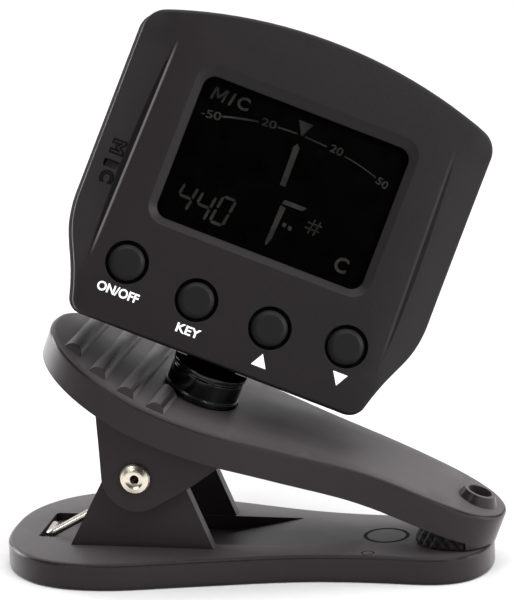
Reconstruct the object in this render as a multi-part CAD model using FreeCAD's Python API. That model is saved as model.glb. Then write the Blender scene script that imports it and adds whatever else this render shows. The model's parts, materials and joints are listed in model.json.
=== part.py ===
import FreeCAD, Part
import math
import os

os.makedirs("parts", exist_ok=True)
V = FreeCAD.Vector

# Clip-on instrument tuner. Millimetres, +Z up, +X towards the jaw tip, -Y is the side the screen faces.
# Origin: on the underside of the lower jaw, in its centre plane, straight below the clip's pivot.

# ---------------------------------------------------------------- driving dimensions
# clip
PIVOT_Z = 12.5          # height of the clip's pivot axis
BASE_T = 3.3            # lower jaw plate thickness
BASE_EDGE_R = 0.6       # rounding of the plate's upper edge
EAR_IN, EAR_OUT = 5.8, 7.3          # lower jaw ears, |Y|
LEAR_IN, LEAR_OUT = 7.5, 9.0        # upper jaw ears, |Y|
EAR_R = 4.2
LEVER_TILT = 21.0       # closed angle of the upper jaw, degrees
LEVER_PLATE = 1.7       # upper jaw plate thickness
LEVER_WALL = 1.5        # upper jaw skirt wall
RIVET_R, RIVET_HOLE_R = 1.25, 0.55
RIVET_CLEAR = 0.06      # radial running clearance in the upper jaw ears
FLANGE_R = 1.87
WIRE_R = 0.5            # spring wire
COIL_R = 2.1            # spring coil mean radius
PAD_GAP = 0.05          # jaw pad to lower jaw, closed
LIP_GAP = 0.15
# neck
NECK_LEAN = 23.3        # swivel axis lean from vertical, degrees
NECK_FOOT = V(6.3, 0, 20.72)
DRUM_R, DRUM_H = 4.65, 4.0
SPIGOT_R, SPIGOT_CLEAR = 2.4, 0.05
SWIVEL0, TILT0 = 8.3, 20.8          # head pose at rest, degrees
# head (local: x right, y into the depth, z up, origin at the face centre)
HEAD_D = 14.0           # head depth
SPLIT_Y = 6.0           # parting line between the covers
WALL, FACE_T = 1.5, 1.6
HALF_W, TOP_Z, TOP_CORNER_Z, BOT_Z = 22.3, 18.62, 14.4, -22.3
REAR_WIDE = 0.37        # how far the rear cover's sides stand out past the front's
BOT_HALF = 18.2
NECK_Y = 7.25           # where the swivel axis meets the head's bottom plane
TILT_Y, TILT_Z = 10.0, 4.05 + BOT_Z  # tilt pin in the head
BARREL_R, BARREL_HALF = 2.5, 3.1
TILT_PIN_R, TILT_CLEAR = 0.8, 0.05
POCKET_HALF, POCKET_Y0, POCKET_TOP = 5.3, 7.1, BOT_Z + 8.7
WIN_HALF, WIN_Z0, WIN_Z1, WIN_R = 13.1, -8.2, 9.75, 1.5
BTN = [("button_power", -14.0, -14.75), ("button_key", -4.7, -16.0), ("button_up", 4.65, -16.0), ("button_down", 13.95, -14.8)]
BTN_R, BTN_HOLE_R, BTN_FLANGE_R = 2.15, 2.62, 2.75
PLUNGER_R = 0.75
CELL_R, CELL_T = 10.0, 3.2          # CR2032
CELL_Z = 3.2
DOOR_R = 11.2
PCB_Y0, PCB_T = 4.9, 0.8


# ---------------------------------------------------------------- helpers
def rad(a):
    return math.radians(a)


def poly(pts):
    p = [V(*q) for q in pts]
    return Part.makePolygon(p + [p[0]])


def spline(pts, closed=False):
    c = Part.BSplineCurve()
    if closed:
        c.interpolate([V(*q) for q in pts], PeriodicFlag=True)
    else:
        c.interpolate([V(*q) for q in pts])
    return c.toShape()


def ext(wire, vec):
    return Part.Face(wire).extrude(V(*vec))


def box(x0, x1, y0, y1, z0, z1):
    return Part.makeBox(x1 - x0, y1 - y0, z1 - z0, V(x0, y0, z0))


def cyl(r, p, d, h):
    return Part.makeCylinder(r, h, V(*p), V(*d))


def rbox(x0, x1, y0, y1, z0, z1, r, axis="y"):
    """Box whose edges along one axis are rounded."""
    b = box(x0, x1, y0, y1, z0, z1)
    k = "xyz".index(axis)
    es = []
    for e in b.Edges:
        d = e.Vertexes[1].Point - e.Vertexes[0].Point
        if abs(abs(d[k]) - d.Length) < 1e-6:
            es.append(e)
    return b.makeFillet(r, es)


def fillet_try(shape, edges, radii, what):
    for r in radii:
        try:
            s = shape.makeFillet(r, edges)
            if s.isValid() and s.Volume > 0 and len(s.Solids) == len(shape.Solids):
                return s
        except Exception:
            pass
    print("no fillet on", what)
    return shape


OUT = {}


def put(name, shape):
    if shape.ShapeType == "Compound" and len(shape.Solids) == 1:
        shape = shape.Solids[0]
    OUT[name] = shape


# ================================================================ clip: lower jaw
base_half = [(-17.8, 0), (-17.72, 2.6), (-17.35, 5.0), (-16.5, 7.4), (-15.2, 9.6), (-13.4, 11.6), (-11.2, 13.1),
             (-8.6, 14.05), (-5, 14.4), (-1.5, 14.1), (2.4, 13.15), (6, 12.15), (10.5, 10.95), (13.5, 10.15), (17, 9.3),
             (21, 8.6), (25, 8.25), (29, 8.15), (33, 8.25), (36.0, 8.1), (38.3, 7.35), (40.0, 5.9), (41.1, 3.9),
             (41.6, 1.9), (41.7, 0)]
outline = [(x, -y, 0) for x, y in base_half] + [(x, y, 0) for x, y in reversed(base_half[1:-1])]
base = ext(Part.Wire(spline(outline, True)), (0, 0, BASE_T))
top_edges = [e for e in base.Edges if abs(e.BoundBox.ZMin - BASE_T) < 1e-6 and e.BoundBox.ZLength < 1e-6]
base = fillet_try(base, top_edges, (BASE_EDGE_R, 0.4), "base top edge")
bot_edges = [e for e in base.Edges if abs(e.BoundBox.ZMax) < 1e-6]
base = fillet_try(base, bot_edges, (0.25,), "base bottom edge")
# two ears with a rounded head around the pivot
ear2d = [(-8.85, 0, 2.4), (8.85, 0, 2.4), (8.85, 0, BASE_T), (5.84, 0, 10.7), (4.55, 0, 13.9), (-3.9, 0, 12.8), (-8.85, 0, BASE_T)]
for s in (-1, 1):
    y0, y1 = sorted((s * EAR_IN, s * EAR_OUT))
    ear = ext(poly([(x, y0, z) for x, _, z in ear2d]), (0, y1 - y0, 0))
    ear = ear.fuse(cyl(EAR_R, (0, y0, PIVOT_Z), (0, 1, 0), y1 - y0)).removeSplitter()
    base = base.fuse(ear)
# sunken channel between the ears, rising to the top face at its front end
chan = ext(poly([(-8.2, -5.5, 1.5), (8.6, -5.5, 1.5), (17.5, -5.5, BASE_T), (17.5, -5.5, 6), (-8.2, -5.5, 6)]), (0, 11.0, 0))
base = base.cut(chan)
# shallow rear recess where the spring's leg lies
base = base.cut(rbox(-13.7, -7.9, -4.6, 4.6, BASE_T - 0.95, 6, 0.5, "z"))
# two cross ribs in the channel floor locate the spring
base = base.fuse(box(-2.0, -1.0, -5.5, 5.5, 1.2, 2.3)).fuse(box(1.4, 2.4, -5.5, 5.5, 1.2, 2.3))
base = base.cut(cyl(RIVET_R, (0, -12, PIVOT_Z), (0, 1, 0), 24))
# round moulding mark on the jaw, and a smaller one nearer the ears
for x, y, r in ((28.7, 0, 2.65), (27.6, -6.7, 0.8)):
    ring = cyl(r, (x, y, BASE_T - 0.12), (0, 0, 1), 1).cut(cyl(r - 0.16, (x, y, BASE_T - 0.2), (0, 0, 1), 2))
    base = base.cut(ring)
base = base.removeSplitter()
put("lower_jaw", base)

# ================================================================ clip: upper jaw (lever)
ct, st = math.cos(rad(LEVER_TILT)), math.sin(rad(LEVER_TILT))


def L(lx, ly, lz):
    """Lever frame, origin on the pivot axis, to the row frame."""
    return (lx * ct + lz * st, ly, PIVOT_Z - lx * st + lz * ct)


top_pts = [(-19.5, 12.9), (-16.5, 12.2), (-13, 11.45), (-9.5, 10.85), (-6, 10.4), (-3, 10.1), (0, 9.95), (2.9, 9.9), (6, 9.92), (9, 10.0),
           (13, 10.2), (17.9, 10.45), (25, 10.85), (29, 10.85), (32.7, 10.7), (36.5, 10.5), (38.9, 10.35), (42.5, 10.3), (45, 10.3)]


def top_at(lx):
    for (a, b), (c, d) in zip(top_pts, top_pts[1:]):
        if a <= lx <= c:
            return b + (d - b) * (lx - a) / (c - a)


def skirt_h(lx):
    return 3.8


def side_region(f_low, cap=0.0, y=14):
    """Prism across the lever between its top curve (lowered by cap) and a lower curve."""
    top = [L(a, -y, b - cap) for a, b in top_pts]
    low = [L(a, -y, f_low(a, b)) for a, b in top_pts]
    w = Part.Wire([spline(top), Part.makeLine(V(*top[-1]), V(*low[-1])), spline(low[::-1]), Part.makeLine(V(*low[0]), V(*top[0]))])
    return ext(w, (0, 2 * y, 0))


lever_half = [(-16.8, 0), (-16.6, 2.4), (-15.8, 4.8), (-14.5, 6.9), (-12.7, 8.75), (-10.5, 10.25), (-7.7, 11.55), (-4.9, 12.35), (-2, 12.8),
              (1.2, 12.88), (4.5, 12.65), (7.8, 12.15), (11, 11.35), (14.2, 10.45), (17.9, 9.5), (21.5, 8.6), (25, 7.9), (29, 7.45),
              (32.7, 7.2), (36.0, 6.75), (38.4, 6.05), (40.3, 4.95), (41.7, 3.3), (42.4, 1.6), (42.55, 0)]


def plan_prism(off, lo=-16.0, hi=20.0):
    pts = [(a, b) for a, b in lever_half]
    full = [(a, -b) for a, b in pts] + [(a, b) for a, b in reversed(pts[1:-1])]
    n = len(full)
    q = []
    for i in range(n):
        ax, ay = full[i - 1]
        bx, by = full[(i + 1) % n]
        dx, dy = bx - ax, by - ay
        k = math.hypot(dx, dy)
        q.append((full[i][0] - off * dy / k, full[i][1] + off * dx / k))
    w = Part.Wire(spline([L(a, b, lo) for a, b in q], True))
    return ext(w, (st * (hi - lo), 0, ct * (hi - lo)))


plan = plan_prism(0.0)
skin = side_region(lambda a, b: b - skirt_h(a))
lever = skin.common(plan)
lever = lever.removeSplitter()
edge = []
for e in lever.Edges:
    m = e.valueAt((e.FirstParameter + e.LastParameter) / 2)
    lx = m.x * ct - (m.z - PIVOT_Z) * st
    lz = m.x * st + (m.z - PIVOT_Z) * ct
    if top_at(max(-18.9, min(44.9, lx))) is not None and abs(lz - top_at(max(-18.9, min(44.9, lx)))) < 0.25:
        edge.append(e)
lever = fillet_try(lever, edge, (0.55, 0.4, 0.3), "lever top edge")
hollow = side_region(lambda a, b: b - 14, cap=LEVER_PLATE).common(plan_prism(LEVER_WALL))
hollow = hollow.common(ext(poly([L(-20, -14, -10), L(30.5, -14, -10), L(30.5, -14, 14), L(-20, -14, 14)]), (0, 28, 0)))
lever = lever.cut(hollow)
# ears, running up into the plate
lear2d = [(-4.2, PIVOT_Z), (-4.35, 16.5), (-4.55, 20.7), (-4.65, 26), (12.5, 21), (14.6, 17.2), (10.8, 14.5), (6.75, 11.56), (2.5, 9.12), (0, 11)]
under_plate = side_region(lambda a, b: b - 16, cap=0.7)
for s in (-1, 1):
    y0, y1 = sorted((s * LEAR_IN, s * LEAR_OUT))
    ear = ext(poly([(x, y0, z) for x, z in lear2d]), (0, y1 - y0, 0)).common(under_plate)
    ear = ear.fuse(cyl(EAR_R, (0, y0, PIVOT_Z), (0, 1, 0), y1 - y0)).removeSplitter()
    lever = lever.fuse(ear)
# front lip that closes on the lower jaw
lip = plan.common(side_region(lambda a, b: b - 12, cap=1.0)).common(box(39.2, 50, -10, 10, BASE_T + LIP_GAP, 14))
lever = lever.fuse(lip)
# swivel seat under the neck drum, square to the swivel axis
N = V(math.sin(rad(NECK_LEAN)), 0, math.cos(rad(NECK_LEAN)))


def along(p, d, k):
    return p + d * k


seat_top = along(NECK_FOOT, N, -0.03)
seat = Part.makeCylinder(DRUM_R + 0.05, 2.4, along(seat_top, N, -2.4), N)
lever = lever.fuse(seat)
# grip ribs: half-round ridges with slanted ends, the last one stopping at the drum
for c in (-12.5, -8.4, -4.25, -0.2):
    hw = 0
    for (a, b), (c2, d2) in zip(lever_half, lever_half[1:]):
        if a <= c - 0.9 <= c2:
            hw = b + (d2 - b) * (c - 0.9 - a) / (c2 - a)
    e = hw - 1.05
    R, sink = 1.28, 0.5
    zc = top_at(c) - sink
    rib = Part.makeCylinder(R, 2 * e, V(*L(c, -e, zc)), V(0, 1, 0))
    for s in (-1, 1):
        # slanted end: everything outside a plane leaning inwards as it rises
        p0 = [(-3, s * e, -0.2), (-3, s * (e - 1.6), 1.6), (-3, s * (e + 4), 1.6), (-3, s * (e + 4), -0.2)]
        w = poly([L(c + a, b, top_at(c) + d) for a, b, d in p0])
        rib = rib.cut(ext(w, (6 * ct, 0, -6 * st)))
    if c > -1:
        rib = rib.cut(Part.makeCylinder(DRUM_R + 0.35, 20, along(NECK_FOOT, N, -10), N))
    rib = rib.common(under_plate.fuse(side_region(lambda a, b: b - 2, cap=-4)))
    lever = lever.fuse(rib)
# raised boss at the tip with a blind hole
bx, bz = 38.75, top_at(38.75)
boss = Part.makeCone(2.55, 1.95, 1.25, V(*L(bx, 0, bz - 0.15)), V(st, 0, ct))
lever = lever.fuse(boss)
lever = lever.cut(Part.makeCylinder(1.5, 4.0, V(*L(bx, 0, bz - 1.6)), V(st, 0, ct)))
# pivot bores and the neck spigot's bore
lever = lever.cut(cyl(RIVET_R + RIVET_CLEAR, (0, -12, PIVOT_Z), (0, 1, 0), 24))
lever = lever.cut(Part.makeCylinder(SPIGOT_R + SPIGOT_CLEAR, 12, along(NECK_FOOT, N, -6), N))
# the curved top is let in where it would rise past the drum's foot
lever = lever.cut(Part.makeCylinder(DRUM_R + 0.15, 8, seat_top, N))
# flat underside for the washer
WASHER_TOP = 2.35      # below the foot plane
lever = lever.cut(Part.makeCylinder(4.35, 6.0, along(NECK_FOOT, N, -WASHER_TOP - 6.0), N))
lever = lever.removeSplitter()
put("upper_jaw", lever)

# rubber pad under the tip: D-shaped, following the skirt above and flat below
pad_half = [(31.9, 0), (32.2, 1.9), (33.2, 3.6), (34.7, 4.75), (36.6, 5.2)]
pz = BASE_T + PAD_GAP
curve = spline([L(a + 1.5, b, -8) for a, b in list(reversed(pad_half)) + [(a, -b) for a, b in pad_half[1:]]])
pw = Part.Wire([curve, Part.makeLine(V(*L(38.1, -5.2, -8)), V(*L(46, -5.2, -8))), Part.makeLine(V(*L(46, -5.2, -8)), V(*L(46, 5.2, -8))),
                Part.makeLine(V(*L(46, 5.2, -8)), V(*L(38.1, 5.2, -8)))])
pad = ext(pw, (st * 26, 0, ct * 26))
pad = pad.common(side_region(lambda a, b: b - 16, cap=3.3)).common(box(20, 39.2, -8, 8, pz, 14)).cut(lever)
put("upper_jaw_pad", pad)

# ================================================================ clip: pivot rivet and spring
fl_y = LEAR_OUT + 0.04
rivet = cyl(RIVET_R, (0, -fl_y - 0.2, PIVOT_Z), (0, 1, 0), 2 * fl_y + 0.4)
for s in (-1, 1):
    # rolled flange: a flat disc with a rounded crown and a dished middle
    prof = [(0, 0), (FLANGE_R, 0), (FLANGE_R, 0.18), (FLANGE_R - 0.16, 0.42), (1.15, 0.62), (0.95, 0.5), (RIVET_HOLE_R, 0.42), (0, 0.42)]
    w = poly([(r, s * (fl_y + h), PIVOT_Z) for r, h in prof])
    rivet = rivet.fuse(Part.Face(w).revolve(V(0, 0, PIVOT_Z), V(0, 1, 0), 360))
rivet = rivet.cut(cyl(RIVET_HOLE_R, (0, -12, PIVOT_Z), (0, 1, 0), 24)).removeSplitter()
put("pivot_rivet", rivet)

# torsion spring: a close coil on the rivet with one leg in the lower jaw's recess and one under the handle
TURNS, PITCH = 5.0, 1.1
y_a = -1.9
foot = (-12.75, 2.35 + WIRE_R + 0.2)                    # leg end in the recess (x, z)
dx, dz = -foot[0], PIVOT_Z - foot[1]
ang = math.atan2(dz, dx) - math.asin(COIL_R / math.hypot(dx, dz))
tl = math.sqrt(dx * dx + dz * dz - COIL_R ** 2)
tan_pt = (foot[0] + tl * math.cos(ang), foot[1] + tl * math.sin(ang))
a0 = math.degrees(math.atan2(tan_pt[1] - PIVOT_Z, tan_pt[0]))      # angle of the leg's tangent point in XZ
hand = L(-11.3, 0, top_at(-11.3) - LEVER_PLATE - WIRE_R - 0.3)
hx, hz = hand[0], hand[2] - PIVOT_Z
b_ang = math.atan2(hz, hx) - math.acos(COIL_R / math.hypot(hx, hz))  # tangent point of the upper leg
b_pt = (COIL_R * math.cos(b_ang), PIVOT_Z + COIL_R * math.sin(b_ang))
b0 = math.degrees(b_ang)
extra = (b0 - a0) % 360.0
turns = (TURNS - 1) + extra / 360.0
hel = Part.makeLongHelix(PITCH, PITCH * turns, COIL_R, 0, True)
# the helix axis goes to +Y and its start to the lower leg's tangent point
c0, s0 = math.cos(rad(a0)), math.sin(rad(a0))
hel.Placement = FreeCAD.Placement(FreeCAD.Matrix(c0, s0, 0, 0, 0, 0, 1, y_a, s0, -c0, 0, PIVOT_Z, 0, 0, 0, 1))
ring_len = 2 * math.pi * COIL_R
tn = math.hypot(ring_len, PITCH)
T_a = V(-ring_len * s0, PITCH, ring_len * c0) * (1 / tn)
cb, sb = math.cos(rad(b0)), math.sin(rad(b0))
T_b = V(-ring_len * sb, PITCH, ring_len * cb) * (1 / tn)
p_a = V(tan_pt[0], y_a, tan_pt[1])
p_b = V(b_pt[0], y_a + PITCH * turns, b_pt[1])
h_len = math.hypot(hand[0] - b_pt[0], hand[2] - b_pt[1])
BEND = 0.9
e_a = p_a - T_a * ((tl - BEND) * tn / ring_len)          # where each leg starts to bend into its foot
e_b = p_b + T_b * ((h_len - BEND) * tn / ring_len)


def bend(p, d, side):
    """Quarter bend of radius BEND from direction d at p towards side (unit, made square to d)."""
    side = (side - d * side.dot(d)).normalize()
    c = p + side * BEND
    mid = c - side * (BEND * math.cos(math.pi / 4)) + d * (BEND * math.sin(math.pi / 4))
    return Part.Arc(p, mid, c + d * BEND).toShape(), c + d * BEND, side


arc_a, q_a, s_a = bend(e_a, T_a * -1, V(0, 1, 0))
arc_b, q_b, s_b = bend(e_b, T_b, V(0, -1, 0))
f_a, f_b = q_a + s_a * 3.4, q_b + s_b * 2.6
path = Part.Wire(Part.__sortEdges__([Part.makeLine(f_a, q_a), arc_a, Part.makeLine(e_a, p_a)] + hel.Edges + [Part.makeLine(p_b, e_b), arc_b, Part.makeLine(q_b, f_b)]))
prof = Part.Wire(Part.makeCircle(WIRE_R, f_a, s_a))
spring = path.makePipeShell([prof], True, False)
put("torsion_spring", spring)

# ================================================================ neck
Xn = V(math.cos(rad(NECK_LEAN)), 0, -math.sin(rad(NECK_LEAN)))
Yn = V(0, 1, 0)
cs, ss = math.cos(rad(SWIVEL0)), math.sin(rad(SWIVEL0))
Rv = Xn * cs + Yn * ss                     # head's right
B0 = Yn * cs - Xn * ss                     # back, before the tilt
cp, sp = math.cos(rad(TILT0)), math.sin(rad(TILT0))
Uv = N * cp + B0 * sp                      # head's up
Bv = B0 * cp - N * sp                      # head's back
DRUM_TOP = along(NECK_FOOT, N, DRUM_H)
FACE = DRUM_TOP - Bv * NECK_Y - Uv * BOT_Z   # the face centre


def head_place(shape):
    m4 = FreeCAD.Matrix(Rv.x, Bv.x, Uv.x, FACE.x, Rv.y, Bv.y, Uv.y, FACE.y, Rv.z, Bv.z, Uv.z, FACE.z, 0, 0, 0, 1)
    s = shape.copy()
    s.Placement = FreeCAD.Placement(m4).multiply(s.Placement)
    return s


def neck_place(shape):
    """Neck frame: x right, y back, z up the swivel axis, origin at the foot centre."""
    m4 = FreeCAD.Matrix(Rv.x, B0.x, N.x, NECK_FOOT.x, Rv.y, B0.y, N.y, NECK_FOOT.y, Rv.z, B0.z, N.z, NECK_FOOT.z, 0, 0, 0, 1)
    s = shape.copy()
    s.Placement = FreeCAD.Placement(m4).multiply(s.Placement)
    return s


# tilt pin in the neck frame
P_head = V(0, TILT_Y - NECK_Y, TILT_Z - BOT_Z)
piv_y = P_head.y * cp + P_head.z * sp
piv_z = DRUM_H - P_head.y * sp + P_head.z * cp
drum_prof = [(0, 0), (DRUM_R - 0.1, 0), (DRUM_R, 0.12), (DRUM_R, 0.75), (DRUM_R - 0.14, 0.85), (DRUM_R - 0.14, DRUM_H - 0.95),
             (DRUM_R - 0.34, DRUM_H - 0.85), (DRUM_R - 0.34, DRUM_H - 0.6), (DRUM_R - 0.02, DRUM_H - 0.5), (DRUM_R - 0.02, DRUM_H - 0.14),
             (DRUM_R - 0.18, DRUM_H), (0, DRUM_H)]
post = Part.Face(poly([(r, 0, h) for r, h in drum_prof])).revolve(V(0, 0, 0), V(0, 0, 1), 360)
post = post.fuse(cyl(SPIGOT_R, (0, 0, -WASHER_TOP + 0.0), (0, 0, 1), WASHER_TOP + 0.5))
# knuckle: a web from the drum's rear half up to the barrel
bar = cyl(BARREL_R, (-BARREL_HALF, piv_y, piv_z), (1, 0, 0), 2 * BARREL_HALF)
t_out = (piv_y + BARREL_R * math.cos(rad(-20)), piv_z + BARREL_R * math.sin(rad(-20)))
web = ext(poly([(-BARREL_HALF, 0.5, DRUM_H - 0.3), (-BARREL_HALF, 3.35, DRUM_H - 0.3), (-BARREL_HALF, t_out[0], t_out[1]),
                (-BARREL_HALF, piv_y, piv_z), (-BARREL_HALF, piv_y - BARREL_R * 0.9, piv_z + 0.9)]), (2 * BARREL_HALF, 0, 0))
post = post.fuse(bar).fuse(web)
post = post.cut(cyl(TILT_PIN_R + TILT_CLEAR, (-8, piv_y, piv_z), (1, 0, 0), 16))
post = post.cut(cyl(0.9, (0, 0, -WASHER_TOP - 1), (0, 0, 1), 5.5))
post = post.removeSplitter()
put("neck_post", neck_place(post))
washer = cyl(3.7, (0, 0, -WASHER_TOP - 0.53), (0, 0, 1), 0.5).cut(cyl(0.96, (0, 0, -WASHER_TOP - 2), (0, 0, 1), 4))
put("neck_washer", neck_place(washer))
scr = cyl(0.9, (0, 0, -WASHER_TOP - 0.55), (0, 0, 1), 4.4)
hd = Part.makeCone(1.35, 1.9, 0.35, V(0, 0, -WASHER_TOP - 0.53 - 1.15), V(0, 0, 1)).fuse(cyl(1.9, (0, 0, -WASHER_TOP - 0.53 - 0.8), (0, 0, 1), 0.8))
for a in (0, 90):
    sl = box(-1.0, 1.0, -0.2, 0.2, -WASHER_TOP - 2.2, -WASHER_TOP - 0.53 - 0.45)
    sl.rotate(V(0, 0, 0), V(0, 0, 1), a)
    hd = hd.cut(sl)
put("neck_screw", neck_place(scr.fuse(hd).removeSplitter()))

# ================================================================ head covers


def head_outline(y, off=0.0, wide=0.0):
    """Closed wire of the head's front view at depth y, shrunk by off, its sides moved out by wide."""
    h, bz0, th = HALF_W - off + wide, BOT_Z + off, TOP_CORNER_Z - off
    k = wide - off
    s_curve = [(BOT_HALF - off * 0.75 + wide, bz0), (18.85 + k, -19.9), (19.45 + k, -18.1), (20.2 + k, -16.3), (21.0 + k, -14.6), (21.72 + k, -12.8),
               (22.15 + k, -10.9), (h, -8.4)]
    if off > 1:
        s_curve[1] = (18.85 + k, -19.6)
    apex = TOP_Z - off
    rt = spline([(x, y, z) for x, z in s_curve])
    up = Part.makeLine(V(h, y, -8.4), V(h, y, th))
    arc = Part.Arc(V(h, y, th), V(0, y, apex), V(-h, y, th)).toShape()
    dn = Part.makeLine(V(-h, y, th), V(-h, y, -8.4))
    lt = spline([(-x, y, z) for x, z in reversed(s_curve)])
    bt = Part.makeLine(V(-s_curve[0][0], y, bz0), V(s_curve[0][0], y, bz0))
    return Part.Wire([rt, up, arc, dn, lt, bt])


def head_prism(y0, y1, off=0.0, r_top=2.9, r_bot=2.0, wide=0.0):
    p = ext(head_outline(y0, off, wide), (0, y1 - y0, 0))
    tops, bots = [], []
    for e in p.Edges:
        if len(e.Vertexes) < 2:
            continue
        d = e.Vertexes[1].Point - e.Vertexes[0].Point
        if abs(abs(d.y) - d.Length) < 1e-6 and d.Length > 0.1:
            q = e.Vertexes[0].Point
            if q.z > 10:
                tops.append(e)
            elif q.z < -20:
                bots.append(e)
    p = p.makeFillet(max(0.5, r_top - off), tops)
    bots = [e for e in p.Edges if len(e.Vertexes) == 2 and abs(abs((e.Vertexes[1].Point - e.Vertexes[0].Point).y) - (y1 - y0)) < 1e-6
            and e.Vertexes[0].Point.z < BOT_Z + off + 0.3 and abs(abs(e.Vertexes[0].Point.x) - (BOT_HALF - off * 0.75 + wide)) < 0.2]
    p = p.makeFillet(max(0.4, r_bot - off), bots)
    return p


front = head_prism(0, SPLIT_Y)
side_faces = [f for f in front.Faces if f.BoundBox.YLength > SPLIT_Y - 0.01]
# wings: each falls away to the side behind a crease that fades out at both ends
CREASE_TOP, CREASE_BOT = (17.9, 12.2), (18.55, -15.4)     # the crease's two ends (x, z)
WING_STEP, WING_SLOPE, STEP_LEAN = 0.6, 14.0, 42.0        # step at mid height, wing slope, lean of the step's wall
zc, zh = -1.6, 14.0
Rw = zh * zh / (2 * WING_STEP) + WING_STEP / 2
kx = (CREASE_BOT[0] - CREASE_TOP[0]) / (CREASE_BOT[1] - CREASE_TOP[1])
tl_ = math.tan(rad(STEP_LEAN))


def crease_x(z):
    return CREASE_TOP[0] + kx * (z - CREASE_TOP[1])


for s in (-1, 1):
    d = V(s * math.cos(rad(WING_SLOPE)), math.sin(rad(WING_SLOPE)), 0)
    # the wing surface is a wide, shallow arc: the cylinder touches the line that leaves the crease's deepest point
    p = V(s * 18.1, WING_STEP, zc) + V(s * math.sin(rad(WING_SLOPE)), -math.cos(rad(WING_SLOPE)), 0) * Rw - d * 10
    cutter = Part.makeCylinder(Rw, 30, p, d)
    lean = ext(poly([(s * (crease_x(-30) - 5 * tl_), -5, -30), (s * 45, -5, -30), (s * 45, -5, 30), (s * (crease_x(30) - 5 * tl_), -5, 30)]), (s * 14 * tl_, 14, 0))
    front = front.cut(cutter.common(lean))
front = front.removeSplitter()
edges = []
for e in front.Edges:
    # rim edges lie on the outer side faces, in front of the parting line, and run round the outline
    if e.BoundBox.YMax < 4.5 and e.BoundBox.XLength + e.BoundBox.ZLength > 0.05:
        a, b = e.FirstParameter, e.LastParameter
        gap = 0.0
        for t in (0.2, 0.5, 0.8):
            v = Part.Vertex(e.valueAt(a + (b - a) * t))
            gap = max(gap, min(v.distToShape(f)[0] for f in side_faces))
        if gap < 1e-3:
            edges.append(e)
front = fillet_try(front, edges, (0.8, 0.7, 0.6, 0.45, 0.3), "front cover rim")
FRONT_EDGES = len(edges)
# cavity: shallow behind the wings, deeper behind the screen
front = front.cut(head_prism(3.5, SPLIT_Y, WALL))
front = front.cut(head_prism(FACE_T, 3.6, WALL).common(box(-17.2, 17.2, 0, 5, -30, 30)))
# screen opening with a sloped frame, and the recess that holds the window
o1 = rbox(-WIN_HALF, WIN_HALF, -1, 3, WIN_Z0, WIN_Z1, WIN_R)
front = front.cut(o1)


def rrect(x0, x1, z0, z1, r, y):
    b = rbox(x0, x1, y, y + 1, z0, z1, r)
    f = [g for g in b.Faces if abs(g.CenterOfMass.y - y) < 1e-6][0]
    return f.OuterWire


bev = Part.makeLoft([rrect(-WIN_HALF - 1.1, WIN_HALF + 1.1, WIN_Z0 - 1.0, WIN_Z1 + 1.4, WIN_R + 0.9, -0.05),
                     rrect(-WIN_HALF, WIN_HALF, WIN_Z0, WIN_Z1, WIN_R, 0.8)], True, False)
front = front.cut(bev)
front = front.cut(rbox(-14.6, 14.6, 0.8, 3, -9.4, 11.2, 0.8))
# button holes and the microphone slot
for n, x, z in BTN:
    front = front.cut(cyl(BTN_HOLE_R, (x, -1, z), (0, 1, 0), 4))
MIC_X, MIC_Z = -19.95, -4.45
front = front.cut(rbox(MIC_X - 0.95, MIC_X + 0.95, -1, 2.9, MIC_Z - 0.5, MIC_Z + 0.5, 0.3))
front = front.cut(cyl(1.62, (-19.1, 2.8, MIC_Z), (0, 1, 0), 4))
# screw bosses (case) and board bosses
CASE = [(-18.0, 11.6), (18.0, 11.6), (-10.0, -18.9), (10.0, -18.9)]
BOARD = [(-16.0, -3.6), (16.0, -3.6)]
for x, z in CASE:
    front = front.fuse(cyl(2.05, (x, 1.4, z), (0, 1, 0), SPLIT_Y - 1.4))
for x, z in BOARD:
    front = front.fuse(cyl(1.25, (x, 1.4, z), (0, 1, 0), PCB_Y0 - 1.4))
for x, z in CASE:
    front = front.cut(cyl(0.9, (x, 2.4, z), (0, 1, 0), 10))
for x, z in BOARD:
    front = front.cut(cyl(0.6, (x, 2.2, z), (0, 1, 0), 10))
front = front.removeSplitter()
put("front_cover", head_place(front))

# rear cover: its sides stand out a little past the front's, behind a small slope


def outline_face(y, wide):
    return [g for g in head_prism(y, y + 1, wide=wide).Faces if abs(g.CenterOfMass.y - y) < 1e-6][0].OuterWire


rear = head_prism(SPLIT_Y + 0.35, HEAD_D, wide=REAR_WIDE)
back_edges = [e for e in rear.Edges if abs(e.BoundBox.YMin - HEAD_D) < 1e-4]
r2 = fillet_try(rear, back_edges, (2.2, 1.8, 1.2), "rear cover back edge")
rear = r2.fuse(Part.makeLoft([outline_face(SPLIT_Y, 0.04), outline_face(SPLIT_Y + 0.35, REAR_WIDE)], True, True))
rear = rear.cut(head_prism(SPLIT_Y - 1, HEAD_D - WALL, WALL).common(box(-30, 30, 0, 20, -30, 30)))
# slanted heel under the back so the head clears the handle when it swivels
heel = ext(poly([(-30, 8.4, BOT_Z - 0.01), (-30, HEAD_D + 1, BOT_Z + 3.4), (-30, HEAD_D + 1, BOT_Z - 3), (-30, 8.4, BOT_Z - 3)]), (60, 0, 0))
heel_in = ext(poly([(-30, 8.0, BOT_Z + 1.6), (-30, HEAD_D - 0.2, BOT_Z + 5.0), (-30, HEAD_D - 0.2, BOT_Z + 0.2), (-30, 6.0, BOT_Z + 0.2), (-30, 6.0, BOT_Z + 1.6)]), (60, 0, 0))
heel_in = heel_in.common(head_prism(SPLIT_Y, HEAD_D - 0.5, 0.7))
rear = rear.fuse(heel_in).cut(heel)
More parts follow.
